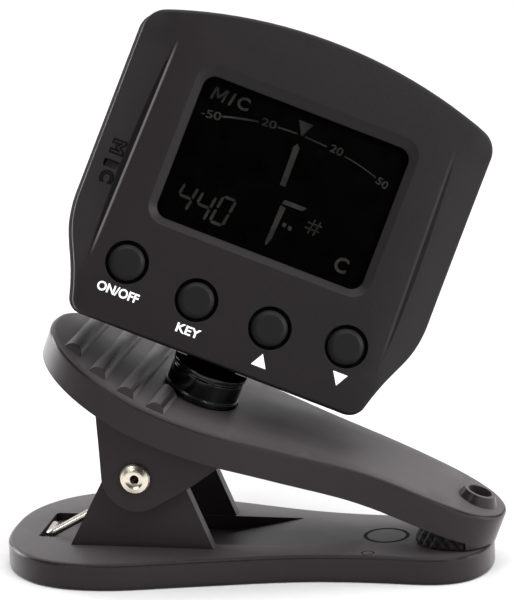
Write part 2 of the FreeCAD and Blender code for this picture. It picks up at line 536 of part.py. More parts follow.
# pocket for the neck knuckle, walled all round
wall_box = box(-POCKET_HALF - 1.5, POCKET_HALF + 1.5, POCKET_Y0 - 0.9, HEAD_D - 0.5, BOT_Z + 0.3, POCKET_TOP + 1.1)
rear = rear.fuse(wall_box.common(head_prism(SPLIT_Y, HEAD_D - 0.5, 0.4)).cut(heel))
rear = rear.cut(box(-POCKET_HALF, POCKET_HALF, POCKET_Y0, HEAD_D + 1, BOT_Z - 1, POCKET_TOP))
# tilt pin bores in the pocket's side walls
rear = rear.cut(cyl(TILT_PIN_R, (-POCKET_HALF - 1.3, TILT_Y, TILT_Z), (1, 0, 0), 2 * POCKET_HALF + 2.6))
# battery bay: ring wall and floor, door opening with a bayonet groove
rear = rear.fuse(cyl(DOOR_R + 1.6, (0, 8.3, CELL_Z), (0, 1, 0), HEAD_D - 0.6 - 8.3).common(head_prism(SPLIT_Y, HEAD_D, 0.6)))
rear = rear.cut(cyl(DOOR_R + 0.12, (0, HEAD_D - 1.5, CELL_Z), (0, 1, 0), 5))
rear = rear.cut(cyl(CELL_R + 0.2, (0, 9.1, CELL_Z), (0, 1, 0), 10))
rear = rear.cut(cyl(3.6, (0, 7, CELL_Z), (0, 1, 0), 5))
groove = cyl(DOOR_R + 0.95, (0, HEAD_D - 2.6, CELL_Z), (0, 1, 0), 1.1).cut(cyl(CELL_R + 0.2, (0, HEAD_D - 3, CELL_Z), (0, 1, 0), 3))
rear = rear.cut(groove)
# case screw posts with countersinks
for x, z in CASE:
    rear = rear.fuse(cyl(2.0, (x, SPLIT_Y, z), (0, 1, 0), HEAD_D - 1.0 - SPLIT_Y).common(head_prism(SPLIT_Y, HEAD_D, 0.3)))
SCREW_SEAT = 11.2
for x, z in CASE:
    rear = rear.cut(cyl(1.0, (x, SPLIT_Y - 1, z), (0, 1, 0), 12)).cut(cyl(1.65, (x, SCREW_SEAT, z), (0, 1, 0), 6))
# slot in the bay ring for the positive contact
rear = rear.cut(box(CELL_R - 0.5, CELL_R + 3.2, 7.6, 12.3, CELL_Z - 1.75, CELL_Z + 1.75))
rear = rear.removeSplitter()
put("rear_cover", head_place(rear))

# battery door: coin-slot disc with two bayonet tabs
door = cyl(DOOR_R, (0, HEAD_D - 1.42, CELL_Z), (0, 1, 0), 1.42)
oe = [e for e in door.Edges if abs(e.BoundBox.YMin - HEAD_D) < 1e-4]
door = fillet_try(door, oe, (0.3,), "door edge")
ringt = cyl(DOOR_R + 0.8, (0, HEAD_D - 2.5, CELL_Z), (0, 1, 0), 0.9).cut(cyl(CELL_R + 0.3, (0, HEAD_D - 3, CELL_Z), (0, 1, 0), 3))
for a in (45, 225):
    sec = ext(poly([(0, HEAD_D - 3, 0), (20 * math.cos(rad(a - 12)), HEAD_D - 3, 20 * math.sin(rad(a - 12))),
                    (20 * math.cos(rad(a + 12)), HEAD_D - 3, 20 * math.sin(rad(a + 12)))]), (0, 3, 0))
    sec.translate(V(0, 0, CELL_Z))
    door = door.fuse(ringt.common(sec))
stub = cyl(DOOR_R - 0.02, (0, HEAD_D - 1.62, CELL_Z), (0, 1, 0), 0.3).cut(cyl(CELL_R + 0.3, (0, HEAD_D - 3, CELL_Z), (0, 1, 0), 3))
door = door.fuse(stub)
door = door.cut(rbox(-6.5, 6.5, HEAD_D - 0.75, HEAD_D + 1, CELL_Z - 0.9, CELL_Z + 0.9, 0.85))
put("battery_door", head_place(door.removeSplitter()))

# ================================================================ head internals
win = rbox(-14.5, 14.5, 0.82, 1.82, -9.3, 11.1, 0.7)
put("display_window", head_place(win))
lcd = box(-14.3, 14.3, 1.95, 3.05, -9.8, 13.4).fuse(box(-14.3, 14.3, 3.05, 3.7, -9.8, 11.0))
put("lcd_panel", head_place(lcd.removeSplitter()))
bl = box(-14.1, 14.1, 3.72, 4.72, -9.6, 10.8)
for s in (-1, 1):
    bl = bl.fuse(box(*sorted((s * 9, s * 11)), 4.7, PCB_Y0, 5.0, 7.0))
put("backlight_panel", head_place(bl.removeSplitter()))
put("lcd_connector", head_place(box(-13.2, 13.2, 3.06, PCB_Y0, 11.3, 13.1)))
board = head_prism(PCB_Y0, PCB_Y0 + PCB_T, 2.1).common(box(-30, 30, 0, 20, -18.6, 15.5))
for x, z in CASE:
    board = board.cut(cyl(2.3, (x, 0, z), (0, 1, 0), 12))
    if z > 0:
        s = 1 if x > 0 else -1
        board = board.cut(box(*sorted((x - s * 2.3, s * 30)), 0, 12, z, 30)).cut(box(*sorted((x, s * 30)), 0, 12, z - 2.3, 30))
    else:
        board = board.cut(box(x - 2.3, x + 2.3, 0, 12, -30, z))
for x, z in BOARD:
    board = board.cut(cyl(0.7, (x, 0, z), (0, 1, 0), 12))
board = board.cut(cyl(1.9, (-19.1, 0, MIC_Z), (0, 1, 0), 12))
put("main_board", head_place(board.removeSplitter()))
chip = box(-3.6, 3.6, PCB_Y0 + PCB_T, PCB_Y0 + PCB_T + 1.0, -11.4, -4.2)
chip = fillet_try(chip, [e for e in chip.Edges if abs(e.BoundBox.YMin - PCB_Y0 - PCB_T - 1.0) < 1e-6], (0.2,), "chip")
for i in range(10):
    for s in (-1, 1):
        z = -10.6 + i * 0.62
        chip = chip.fuse(box(*sorted((s * 3.5, s * 4.4)), PCB_Y0 + PCB_T, PCB_Y0 + PCB_T + 0.25, z, z + 0.28))
put("controller_chip", head_place(chip.removeSplitter()))

switches = []
for name, x, z in BTN:
    # cap with a bevelled crown and a retaining flange behind the face
    prof = [(0, -0.28), (BTN_R - 0.52, -0.28), (BTN_R - 0.08, 0.06), (BTN_R, 0.2), (BTN_R, 1.95), (BTN_FLANGE_R, 1.95), (BTN_FLANGE_R, 2.5), (1.4, 2.5), (1.4, 3.2), (0, 3.2)]
    cap = Part.Face(poly([(r, h, 0) for r, h in prof])).revolve(V(0, 0, 0), V(0, 1, 0), 360)
    cap.translate(V(x, 0, z))
    put(name, head_place(cap))
    pl = cyl(PLUNGER_R, (x, 3.22, z), (0, 1, 0), 1.18)
    put("plunger_" + name.split("_")[1], head_place(pl))
    sw = box(x - 1.7, x + 1.7, 3.85, PCB_Y0, z - 1.7, z + 1.7)
    sw = sw.makeFillet(0.2, [e for e in sw.Edges if abs(e.BoundBox.YLength - (PCB_Y0 - 3.85)) < 1e-6])
    sw = sw.cut(cyl(PLUNGER_R + 0.05, (x, 3, z), (0, 1, 0), 1.85))
    switches.append(sw)
put("tact_switches", head_place(Part.Compound(switches)))

mic = cyl(1.55, (-19.1, 3.55, MIC_Z), (0, 1, 0), 2.2)
for s in (-1, 1):
    mic = mic.fuse(cyl(0.2, (-19.1, 5.6, MIC_Z + s * 0.6), (0, 1, 0), 0.6))
put("mic_capsule", head_place(mic))
piezo = cyl(4.5, (-15.0, HEAD_D - WALL - 0.3, -9.6), (0, 1, 0), 0.3).fuse(cyl(3.1, (-15.0, HEAD_D - WALL - 0.5, -9.6), (0, 1, 0), 0.25))
put("piezo_disc", head_place(piezo.removeSplitter()))
leads = [cyl(0.25, (-15.0, PCB_Y0 + PCB_T, -9.6), (0, 1, 0), HEAD_D - WALL - 0.5 - PCB_Y0 - PCB_T),
         cyl(0.25, (-11.3, PCB_Y0 + PCB_T, -9.6), (0, 1, 0), HEAD_D - WALL - 0.3 - PCB_Y0 - PCB_T)]
put("piezo_leads", head_place(Part.Compound(leads)))

cell = cyl(CELL_R, (0, 9.5, CELL_Z), (0, 1, 0), CELL_T - 0.35).fuse(cyl(CELL_R - 1.1, (0, 9.15, CELL_Z), (0, 1, 0), 0.4))
ce = [e for e in cell.Edges if abs(e.BoundBox.YMin - (9.5 + CELL_T - 0.35)) < 1e-6 and e.BoundBox.YLength < 1e-6]
cell = fillet_try(cell, ce, (0.3,), "cell")
put("coin_cell", head_place(cell.removeSplitter()))
# leaf contacts: a bowed strip under the cell, and a bent strip up its side
neg = ext(poly([(-3.0, PCB_Y0 + PCB_T, CELL_Z), (-3.0, PCB_Y0 + PCB_T + 0.25, CELL_Z), (-1.7, PCB_Y0 + PCB_T + 0.25, CELL_Z), (0.6, 9.14, CELL_Z), (1.6, 9.14, CELL_Z),
                (2.4, 8.5, CELL_Z), (2.2, 8.3, CELL_Z), (1.5, 8.89, CELL_Z), (0.75, 8.89, CELL_Z), (-1.5, PCB_Y0 + PCB_T, CELL_Z)]), (0, 0, 2.2))
neg.translate(V(0, 0, -1.1))
put("battery_contact_negative", head_place(neg))
pos = box(CELL_R + 0.25, CELL_R + 0.55, PCB_Y0 + PCB_T, 11.3, CELL_Z - 1.4, CELL_Z + 1.4)
pos = pos.fuse(box(CELL_R + 0.25, CELL_R + 2.2, PCB_Y0 + PCB_T, PCB_Y0 + PCB_T + 0.3, CELL_Z - 1.4, CELL_Z + 1.4))
pos = pos.fuse(box(CELL_R + 0.02, CELL_R + 0.3, 10.2, 11.1, CELL_Z - 1.0, CELL_Z + 1.0))
put("battery_contact_positive", head_place(pos.removeSplitter()))


def screw(x, z, y_head, head_r, head_h, r, y_tip):
    s = cyl(r, (x, y_tip, z), (0, 1, 0), y_head - y_tip + 0.1)
    h = cyl(head_r, (x, y_head, z), (0, 1, 0), head_h)
    h = fillet_try(h, [e for e in h.Edges if abs(e.BoundBox.YMin - y_head - head_h) < 1e-6], (0.25,), "screw")
    for a in (0, 90):
        sl = box(-head_r * 0.6, head_r * 0.6, y_head + head_h * 0.45, y_head + head_h + 1, -0.2, 0.2)
        sl.rotate(V(0, 0, 0), V(0, 1, 0), a)
        sl.translate(V(x, 0, z))
        h = h.cut(sl)
    tip = Part.makeCone(r, 0.2, 0.7, V(x, y_tip, z), V(0, -1, 0))
    return s.fuse(h).fuse(tip).removeSplitter()


put("case_screws", head_place(Part.Compound([screw(x, z, SCREW_SEAT, 1.55, 1.0, 0.9, 3.2) for x, z in CASE])))
put("board_screws", head_place(Part.Compound([screw(x, z, PCB_Y0 + PCB_T, 1.2, 0.7, 0.6, 3.0) for x, z in BOARD])))
put("tilt_pin", head_place(cyl(TILT_PIN_R, (-POCKET_HALF - 1.25, TILT_Y, TILT_Z), (1, 0, 0), 2 * POCKET_HALF + 2.5)))

# ---------------------------------------------------------------- export
for name in sorted(OUT):
    s = OUT[name]
    ok = s.isValid()
    s.exportStep("parts/" + name + ".step")
    bb = s.BoundBox
    print("%-26s solids %d valid %s vol %9.2f  box %.1f %.1f %.1f .. %.1f %.1f %.1f" % (
        name, len(s.Solids), ok, s.Volume, bb.XMin, bb.YMin, bb.ZMin, bb.XMax, bb.YMax, bb.ZMax))


def vec(v):
    return "(%.3f, %.3f, %.3f)" % (v.x, v.y, v.z)


tp = FACE + Bv * TILT_Y + Uv * TILT_Z
dc = FACE + Bv * HEAD_D + Uv * CELL_Z
print("right", vec(Rv), "back", vec(Bv), "up", vec(Uv), "face", vec(FACE), "neck axis", vec(N))
print("tilt pin at", vec(tp), "door axis at", vec(dc), "rim edges filleted", FRONT_EDGES)
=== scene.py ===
import json
import math
import bpy
import bmesh
from mathutils import Matrix, Vector
from mathutils.bvhtree import BVHTree


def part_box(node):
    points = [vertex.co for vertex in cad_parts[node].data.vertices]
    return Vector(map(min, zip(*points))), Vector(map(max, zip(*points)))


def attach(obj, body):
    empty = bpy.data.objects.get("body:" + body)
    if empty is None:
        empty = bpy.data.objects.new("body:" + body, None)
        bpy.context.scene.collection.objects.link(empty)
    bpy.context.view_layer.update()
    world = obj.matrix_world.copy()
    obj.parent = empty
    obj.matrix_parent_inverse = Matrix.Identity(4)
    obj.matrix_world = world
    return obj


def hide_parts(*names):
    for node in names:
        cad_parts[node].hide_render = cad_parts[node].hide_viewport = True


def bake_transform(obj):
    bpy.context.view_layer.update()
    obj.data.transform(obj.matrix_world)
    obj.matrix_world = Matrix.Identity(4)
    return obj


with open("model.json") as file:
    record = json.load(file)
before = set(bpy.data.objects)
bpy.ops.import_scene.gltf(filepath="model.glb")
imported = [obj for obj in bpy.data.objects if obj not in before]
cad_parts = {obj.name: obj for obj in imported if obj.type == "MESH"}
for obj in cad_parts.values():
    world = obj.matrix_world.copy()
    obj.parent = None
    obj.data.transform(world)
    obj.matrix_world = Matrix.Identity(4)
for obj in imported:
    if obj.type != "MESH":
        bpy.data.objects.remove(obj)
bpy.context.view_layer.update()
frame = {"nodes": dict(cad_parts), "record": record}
NODES = frame["nodes"]
SCENE = bpy.context.scene
COLL = SCENE.collection

# ---------------------------------------------------------------- head frame (same numbers as the CAD), millimetres
NECK_LEAN, SWIVEL0, TILT0 = math.radians(23.3), math.radians(8.3), math.radians(20.8)
N = Vector((math.sin(NECK_LEAN), 0, math.cos(NECK_LEAN)))
XN = Vector((math.cos(NECK_LEAN), 0, -math.sin(NECK_LEAN)))
YN = Vector((0, 1, 0))
RV = XN * math.cos(SWIVEL0) + YN * math.sin(SWIVEL0)
B0 = YN * math.cos(SWIVEL0) - XN * math.sin(SWIVEL0)
UV = N * math.cos(TILT0) + B0 * math.sin(TILT0)
BV = B0 * math.cos(TILT0) - N * math.sin(TILT0)
FACE = Vector((6.3, 0, 20.72)) + N * 4.0 - BV * 7.25 - UV * -22.3
PIVOT_Z = 12.5
TILT = math.radians(21.0)
MM = 0.001


def H(u, y, z):
    """Head point (right, depth, up; mm) to the row frame in metres."""
    return (FACE + RV * u + BV * y + UV * z) * MM


# ---------------------------------------------------------------- node helpers
class Tree:
    """Short hand for building a material's nodes."""

    def __init__(self, name):
        self.m = bpy.data.materials.new(name)
        self.m.use_nodes = True
        self.t = self.m.node_tree
        self.t.nodes.clear()
        self.out = self.t.nodes.new("ShaderNodeOutputMaterial")
        self.b = self.t.nodes.new("ShaderNodeBsdfPrincipled")
        self.link(self.b.outputs[0], self.out.inputs["Surface"])
        self.co = self.t.nodes.new("ShaderNodeTexCoord").outputs["Object"]

    def link(self, a, b):
        self.t.links.new(a, b)

    def val(self, sock, v):
        if isinstance(v, (int, float, tuple, list)):
            sock.default_value = v
        else:
            self.link(v, sock)

    def noise(self, scale, detail=2.0, rough=0.55, co=None, w=None):
        n = self.t.nodes.new("ShaderNodeTexNoise")
        n.inputs["Scale"].default_value = scale
        n.inputs["Detail"].default_value = detail
        n.inputs["Roughness"].default_value = rough
        self.link(co or self.co, n.inputs["Vector"])
        return n.outputs["Fac"]

    def voronoi(self, scale, co=None, feature="F1"):
        n = self.t.nodes.new("ShaderNodeTexVoronoi")
        n.feature = feature
        n.inputs["Scale"].default_value = scale
        self.link(co or self.co, n.inputs["Vector"])
        return n.outputs["Distance"]

    def math(self, op, a, b=0.0, c=0.0, clamp=False):
        n = self.t.nodes.new("ShaderNodeMath")
        n.operation = op
        n.use_clamp = clamp
        self.val(n.inputs[0], a)
        self.val(n.inputs[1], b)
        self.val(n.inputs[2], c)
        return n.outputs[0]

    def remap(self, v, a, b, c, d, smooth=False):
        n = self.t.nodes.new("ShaderNodeMapRange")
        if smooth:
            n.interpolation_type = "SMOOTHSTEP"
        self.val(n.inputs["Value"], v)
        for k, x in zip(("From Min", "From Max", "To Min", "To Max"), (a, b, c, d)):
            self.val(n.inputs[k], x)
        return n.outputs["Result"]

    def mix(self, f, a, b, mode="MIX"):
        n = self.t.nodes.new("ShaderNodeMix")
        n.data_type = "RGBA"
        n.blend_type = mode
        n.clamp_factor = True
        self.val(n.inputs[0], f)
        self.val(n.inputs[6], a)
        self.val(n.inputs[7], b)
        return n.outputs[2]

    def dot(self, vec, axis):
        n = self.t.nodes.new("ShaderNodeVectorMath")
        n.operation = "DOT_PRODUCT"
        self.link(vec, n.inputs[0])
        self.val(n.inputs[1], tuple(axis))
        return n.outputs["Value"]

    def shift(self, vec, by):
        n = self.t.nodes.new("ShaderNodeVectorMath")
        n.operation = "SUBTRACT"
        self.link(vec, n.inputs[0])
        n.inputs[1].default_value = tuple(by)
        return n.outputs[0]

    def scaled(self, sx, sy, sz, co=None, rot=(0, 0, 0)):
        n = self.t.nodes.new("ShaderNodeMapping")
        n.inputs["Scale"].default_value = (sx, sy, sz)
        n.inputs["Rotation"].default_value = rot
        self.link(co or self.co, n.inputs["Vector"])
        return n.outputs[0]

    def head(self):
        """Head coordinates in millimetres: (right, depth, up)."""
        p = self.shift(self.co, FACE * MM)
        return [self.dot(p, tuple(1000 * c for c in ax)) for ax in (RV, BV, UV)]

    def bevel(self, radius):
        n = self.t.nodes.new("ShaderNodeBevel")
        n.samples = 6
        n.inputs["Radius"].default_value = radius
        return n.outputs["Normal"]

    def bump(self, height, strength, distance, normal=None):
        n = self.t.nodes.new("ShaderNodeBump")
        n.inputs["Strength"].default_value = strength
        n.inputs["Distance"].default_value = distance
        self.link(height, n.inputs["Height"])
        if normal is not None:
            self.link(normal, n.inputs["Normal"])
        return n.outputs["Normal"]

    def edge(self, bev):
        """0 on flat surface, rising where the bevelled normal leaves the true one."""
        g = self.t.nodes.new("ShaderNodeNewGeometry").outputs["True Normal"]
        n = self.t.nodes.new("ShaderNodeVectorMath")
        n.operation = "DOT_PRODUCT"
        self.link(bev, n.inputs[0])
        self.link(g, n.inputs[1])
        return self.remap(n.outputs["Value"], 0.99, 0.80, 0.0, 1.0)

    def painted_corner_shade(self, distance, low=0.25):
        """Painted shade: 1 in the open, falling to low in narrow corners."""
        n = self.t.nodes.new("ShaderNodeAmbientOcclusion")
        n.samples = 6
        n.inputs["Distance"].default_value = distance
        return self.remap(n.outputs["AO"], 0.35, 0.9, low, 1.0)

    def grazing(self, k, rough):
        """Extra gloss at flat angles, as on fine-grained plastic."""
        lw = self.t.nodes.new("ShaderNodeLayerWeight")
        lw.inputs["Blend"].default_value = 0.5
        f = self.math("MULTIPLY", self.math("POWER", lw.outputs["Facing"], 3.0), k)
        gl = self.t.nodes.new("ShaderNodeBsdfGlossy")
        gl.inputs["Color"].default_value = (0.92, 0.90, 0.92, 1)
        gl.inputs["Roughness"].default_value = rough
        mx = self.t.nodes.new("ShaderNodeMixShader")
        self.link(f, mx.inputs[0])
        self.link(self.b.outputs[0], mx.inputs[1])
        self.link(gl.outputs[0], mx.inputs[2])
        self.link(mx.outputs[0], self.out.inputs["Surface"])

    def set(self, **k):
        for name, v in k.items():
            self.val(self.b.inputs[name.replace("_", " ")], v)


def lin(r, g, b):
    """sRGB 0..255 to linear."""
    def f(c):
        c /= 255.0
        return c / 12.92 if c <= 0.04045 else ((c + 0.055) / 1.055) ** 2.4
    return (f(r), f(g), f(b), 1.0)


def mul(c, k):
    return (c[0] * k, c[1] * k, c[2] * k, 1.0)


def plastic(name, colour, rough=0.5, grain=5200.0, grain_h=0.35, bev=0.00012, spec=0.2, wear_and_highlight=0.35, corner_shade_dist=0.0):
    """Moulded plastic: fine spark-eroded grain, slow colour drift, slightly polished edges that are also lightened
    (part wear, part painted highlight), and optional painted shade in narrow corners.
    """
    t = Tree(name)
    fine = t.noise(grain, 3.0, 0.6)
    mid = t.noise(700.0, 3.0, 0.6)
    slow = t.noise(55.0, 2.0, 0.5)
    pits = t.voronoi(grain * 0.42)
    base = t.mix(t.remap(slow, 0.3, 0.7, 0.0, 1.0), mul(colour, 0.93), mul(colour, 1.07))
    base = t.mix(t.remap(fine, 0.35, 0.65, 0.0, 0.35), base, mul(colour, 1.35))
    bv = t.bevel(bev)
    ed = t.edge(bv)
    # edges lightened up to 2.2 times: partly wear, partly painted highlight
    base = t.mix(t.math("MULTIPLY", ed, t.remap(mid, 0.35, 0.7, 0.1, wear_and_highlight)), base, mul(colour, 2.2))
    # painted shade: the colour is darkened in narrow corners
    if corner_shade_dist > 0:
        corner_shade = t.painted_corner_shade(corner_shade_dist)
        dark = t.t.nodes.new("ShaderNodeMix")
        dark.data_type = "RGBA"
        dark.blend_type = "MULTIPLY"
        dark.inputs[0].default_value = 1.0
        t.val(dark.inputs[6], base)
        cc = t.t.nodes.new("ShaderNodeCombineXYZ")
        for q in range(3):
            t.link(corner_shade, cc.inputs[q])
        t.link(cc.outputs[0], dark.inputs[7])
        base = dark.outputs[2]
    r = t.remap(mid, 0.3, 0.7, rough - 0.02, rough + 0.02)
    r = t.math("SUBTRACT", r, t.math("MULTIPLY", ed, 0.12))
    h = t.math("ADD", t.math("MULTIPLY", fine, 0.7), t.math("MULTIPLY", pits, 0.5))
    t.set(Base_Color=base, Roughness=r, Normal=t.bump(h, grain_h, 0.00004, bv))
    t.b.inputs["Specular IOR Level"].default_value = spec
    t.b.inputs["IOR"].default_value = 1.49
    t.extra = {"base": base, "rough": r, "fine": fine, "mid": mid, "bev": bv, "edge": ed}
    return t


def metal(name, colour, rough=0.25, brush=(60, 60, 4000), scratch=0.25, bev=0.00006, tarnish=(0.5, 0.42, 0.3)):
    """Plated metal: brushed or drawn lines, small scratches, dull spots."""
    t = Tree(name)
    lines = t.noise(1.0, 2.0, 0.6, t.scaled(*brush))
    spots = t.noise(1500.0, 4.0, 0.6)
    slow = t.noise(300.0, 2.0)
    bv = t.bevel(bev)
    base = t.mix(t.remap(spots, 0.5, 0.75, 0.0, 0.35), colour, mul((tarnish[0], tarnish[1], tarnish[2], 1), 0.8))
    base = t.mix(t.remap(lines, 0.35, 0.65, 0.0, 0.25), base, mul(colour, 0.75))
    r = t.math("ADD", t.remap(slow, 0.3, 0.7, rough - 0.05, rough + 0.06), t.math("MULTIPLY", lines, scratch * 0.2))
    h = t.math("ADD", lines, t.math("MULTIPLY", spots, 0.4))
    t.set(Base_Color=base, Roughness=r, Normal=t.bump(h, scratch, 0.00002, bv))
    t.b.inputs["Metallic"].default_value = 1.0
    return t


CASE = lin(22, 18, 20)
JAW = lin(42, 37, 39)

# ---------------------------------------------------------------- materials
# head covers: same plastic, plus painted shade in the crease beside each wing and a painted highlight along its edge
case = plastic("case_plastic", CASE, rough=0.50, grain=5600.0, grain_h=0.30, corner_shade_dist=0.0006)
u, dep, z = case.head()
au = case.math("ABSOLUTE", u)
kx = (18.55 - 17.9) / (-15.4 - 12.2)
cx = case.math("ADD", 17.9, case.math("MULTIPLY", case.math("SUBTRACT", z, 12.2), kx))
rw = 14.0 ** 2 / (2 * 0.6) + 0.3
dz = case.math("SUBTRACT", z, -1.6)
step = case.math("SUBTRACT", 0.6, case.math("DIVIDE", case.math("MULTIPLY", dz, dz), 2 * rw))
step = case.math("MAXIMUM", step, 0.0)
du = case.math("SUBTRACT", au, cx)
wid = case.math("MULTIPLY", step, math.tan(math.radians(42)))
crease_shade = case.math("MULTIPLY", case.remap(du, 0.0, 0.08, 0.0, 1.0, True),
                 case.math("SUBTRACT", 1.0, case.remap(case.math("SUBTRACT", du, wid), -0.02, 0.2, 0.0, 1.0, True)))
front_only = case.math("LESS_THAN", dep, 1.6)
on = case.remap(step, 0.02, 0.25, 0.0, 1.0)
crease_shade = case.math("MULTIPLY", case.math("MULTIPLY", crease_shade, on), front_only, clamp=True)
# mask for a painted highlight just inside the crease's edge
crease_highlight = case.math("MULTIPLY", case.remap(du, -0.34, -0.2, 0.0, 1.0, True), case.math("SUBTRACT", 1.0, case.remap(du, -0.06, 0.03, 0.0, 1.0, True)))
crease_highlight = case.math("MULTIPLY", case.math("MULTIPLY", crease_highlight, on), front_only, clamp=True)
# painted shade: the crease band is darkened almost to black
col = case.mix(case.math("MULTIPLY", crease_shade, 0.97), case.extra["base"], mul(CASE, 0.03))
highlight_left_bias = case.remap(u, -1.0, 1.0, 0.85, 0.12)
# painted highlight along the crease's edge, stronger on the left wing than on the right
col = case.mix(case.math("MULTIPLY", crease_highlight, highlight_left_bias), col, lin(96, 92, 93))
case.set(Base_Color=col)
case.set(Roughness=case.math("ADD", case.extra["rough"], case.math("MULTIPLY", crease_shade, 0.3)))

jaw = plastic("jaw_plastic", JAW, rough=0.46, grain=4600.0, grain_h=0.32, bev=0.00012, spec=0.12, wear_and_highlight=0.6, corner_shade_dist=0.0009)
# the moulded edge fillets, picked by how far their normal leans from straight up: smoother than the faces beside them,
# and their colour darkened to a quarter as painted shade
nz = jaw.dot(jaw.t.nodes.new("ShaderNodeTexCoord").outputs["Normal"], (0, 0, 1))
rim_shade = jaw.math("MULTIPLY", jaw.remap(nz, 0.34, 0.46, 0.0, 1.0, True), jaw.math("SUBTRACT", 1.0, jaw.remap(nz, 0.72, 0.84, 0.0, 1.0, True)))
# painted shade on the edge fillets
jaw.set(Base_Color=jaw.mix(jaw.math("MULTIPLY", rim_shade, 0.75), jaw.extra["base"], mul(JAW, 0.25)))
jaw.set(Roughness=jaw.math("SUBTRACT", jaw.extra["rough"], jaw.math("MULTIPLY", rim_shade, 0.18)))
jaw.grazing(jaw.math("SUBTRACT", 0.29, jaw.math("MULTIPLY", rim_shade, 0.24)), 0.6)
door = plastic("door_plastic", CASE, rough=0.52, grain=5200.0, grain_h=0.34, corner_shade_dist=0.0006)

button = plastic("button_rubber", lin(9, 7, 8), rough=0.55, grain=6500.0, grain_h=0.25, bev=0.00018, wear_and_highlight=0.25)
button.b.inputs["Sheen Weight"].default_value = 0.06
button.b.inputs["Sheen Roughness"].default_value = 0.4

# polished black of the neck: faint flow lines and fine dust
neck = Tree("neck_gloss")
flow = neck.noise(1.0, 2.0, 0.5, neck.scaled(700, 700, 90))
dust = neck.noise(3200.0, 3.0, 0.6)
nb = neck.bevel(0.00015)
neck.set(Base_Color=neck.mix(neck.remap(dust, 0.62, 0.8, 0.0, 0.4), lin(1.5, 1.2, 1.5), lin(6, 5, 6)),
         Roughness=neck.remap(flow, 0.3, 0.7, 0.08, 0.16), Normal=neck.bump(flow, 0.06, 0.00006, nb))
neck.b.inputs["IOR"].default_value = 1.5
neck.b.inputs["Coat Weight"].default_value = 0.0
neck.b.inputs["Specular IOR Level"].default_value = 0.4
neck.b.inputs["Coat Roughness"].default_value = 0.06

# ribbed rubber of the jaw pad
pad = Tree("jaw_rubber")
pr = pad.scaled(1, 1, 1, rot=(0, math.radians(38), 0))
wv = pad.t.nodes.new("ShaderNodeTexWave")
wv.wave_type = "BANDS"
wv.bands_direction = "X"
wv.inputs["Scale"].default_value = 330.0
wv.inputs["Distortion"].default_value = 0.4
wv.inputs["Detail"].default_value = 1.0
pad.link(pr, wv.inputs["Vector"])
pn = pad.noise(4200.0, 3.0)
pad.set(Base_Color=pad.mix(wv.outputs["Fac"], lin(12, 11, 12), lin(36, 32, 35)), Roughness=pad.remap(pn, 0.3, 0.7, 0.6, 0.8),
        Normal=pad.bump(pad.math("ADD", wv.outputs["Fac"], pad.math("MULTIPLY", pn, 0.25)), 0.7, 0.00018))
pad.b.inputs["Specular IOR Level"].default_value = 0.2

rivet = metal("bright_steel", lin(226, 217, 200), rough=0.2, brush=(900, 120, 900), scratch=0.3)
spring = metal("spring_steel", lin(214, 208, 198), rough=0.22, brush=(300, 300, 300), scratch=0.22)
zinc = metal("zinc_steel", lin(196, 196, 194), rough=0.3, brush=(700, 700, 700))
cell = metal("cell_steel", lin(205, 205, 204), rough=0.24, brush=(2600, 80, 80))
contact = metal("contact_steel", lin(212, 206, 190), rough=0.22, brush=(900, 60, 60))
micm = metal("mic_aluminium", lin(200, 201, 203), rough=0.32, brush=(600, 600, 600))
brass = metal("piezo_brass", lin(214, 184, 118), rough=0.3, brush=(1400, 80, 80), tarnish=(0.35, 0.2, 0.08))

# tinted window over the screen: glossy, dark, lets the display's bright parts through
win = Tree("window_tint")
ws = win.noise(2600.0, 2.0)
wl = win.noise(120.0, 2.0)
smear = win.noise(1.0, 3.0, 0.6, win.scaled(260, 260, 900))
win.set(Base_Color=win.mix(wl, lin(0.5, 0.5, 0.5), lin(1, 1, 1)), Roughness=win.remap(smear, 0.3, 0.8, 0.045, 0.06), Normal=win.bump(ws, 0.003, 0.00001))
win.b.inputs["IOR"].default_value = 1.49
win.b.inputs["Alpha"].default_value = 0.5
win.m.surface_render_method = "BLENDED"

# the display: black glass with a very faint segment lattice
lcd = Tree("lcd_glass")
ln = lcd.noise(380.0, 2.0)
lv = lcd.voronoi(5200.0)
lcd.set(Base_Color=lcd.mix(lcd.remap(lv, 0.2, 0.6, 0.0, 0.5), lin(0.3, 0.3, 0.3), lin(1, 1, 1)), Roughness=lcd.remap(ln, 0.3, 0.7, 0.25, 0.34), Normal=lcd.bump(lv, 0.004, 0.00001))

seg = Tree("lcd_segment")
sn = seg.noise(3600.0, 3.0)
sl = seg.noise(260.0, 2.0)
seg.set(Base_Color=seg.mix(seg.remap(sl, 0.35, 0.65, 0.0, 1.0), lin(166, 163, 156), lin(120, 117, 113)), Roughness=seg.remap(sn, 0.3, 0.7, 0.5, 0.7), Normal=seg.bump(sn, 0.1, 0.00002))

ink = Tree("legend_ink")
inn = ink.noise(5200.0, 3.0)
iw = ink.noise(900.0, 4.0, 0.65)
ink.set(Base_Color=ink.mix(ink.remap(iw, 0.62, 0.85, 0.0, 0.5), lin(252, 252, 252), lin(206, 204, 204)), Roughness=ink.remap(inn, 0.3, 0.7, 0.42, 0.6), Normal=ink.bump(inn, 0.15, 0.00002))

# painted shade: near-black for the inside of engraved marks (the MIC letters and the jaw's round moulding mark)
groove_shade = Tree("painted_groove_shade")
gn = groove_shade.noise(4200.0, 3.0)
groove_shade.b.inputs["Specular IOR Level"].default_value = 0.1
groove_shade.set(Base_Color=groove_shade.mix(gn, lin(2, 2, 2), lin(6, 5, 6)), Roughness=groove_shade.remap(gn, 0.3, 0.7, 0.6, 0.8), Normal=groove_shade.bump(gn, 0.2, 0.00002))

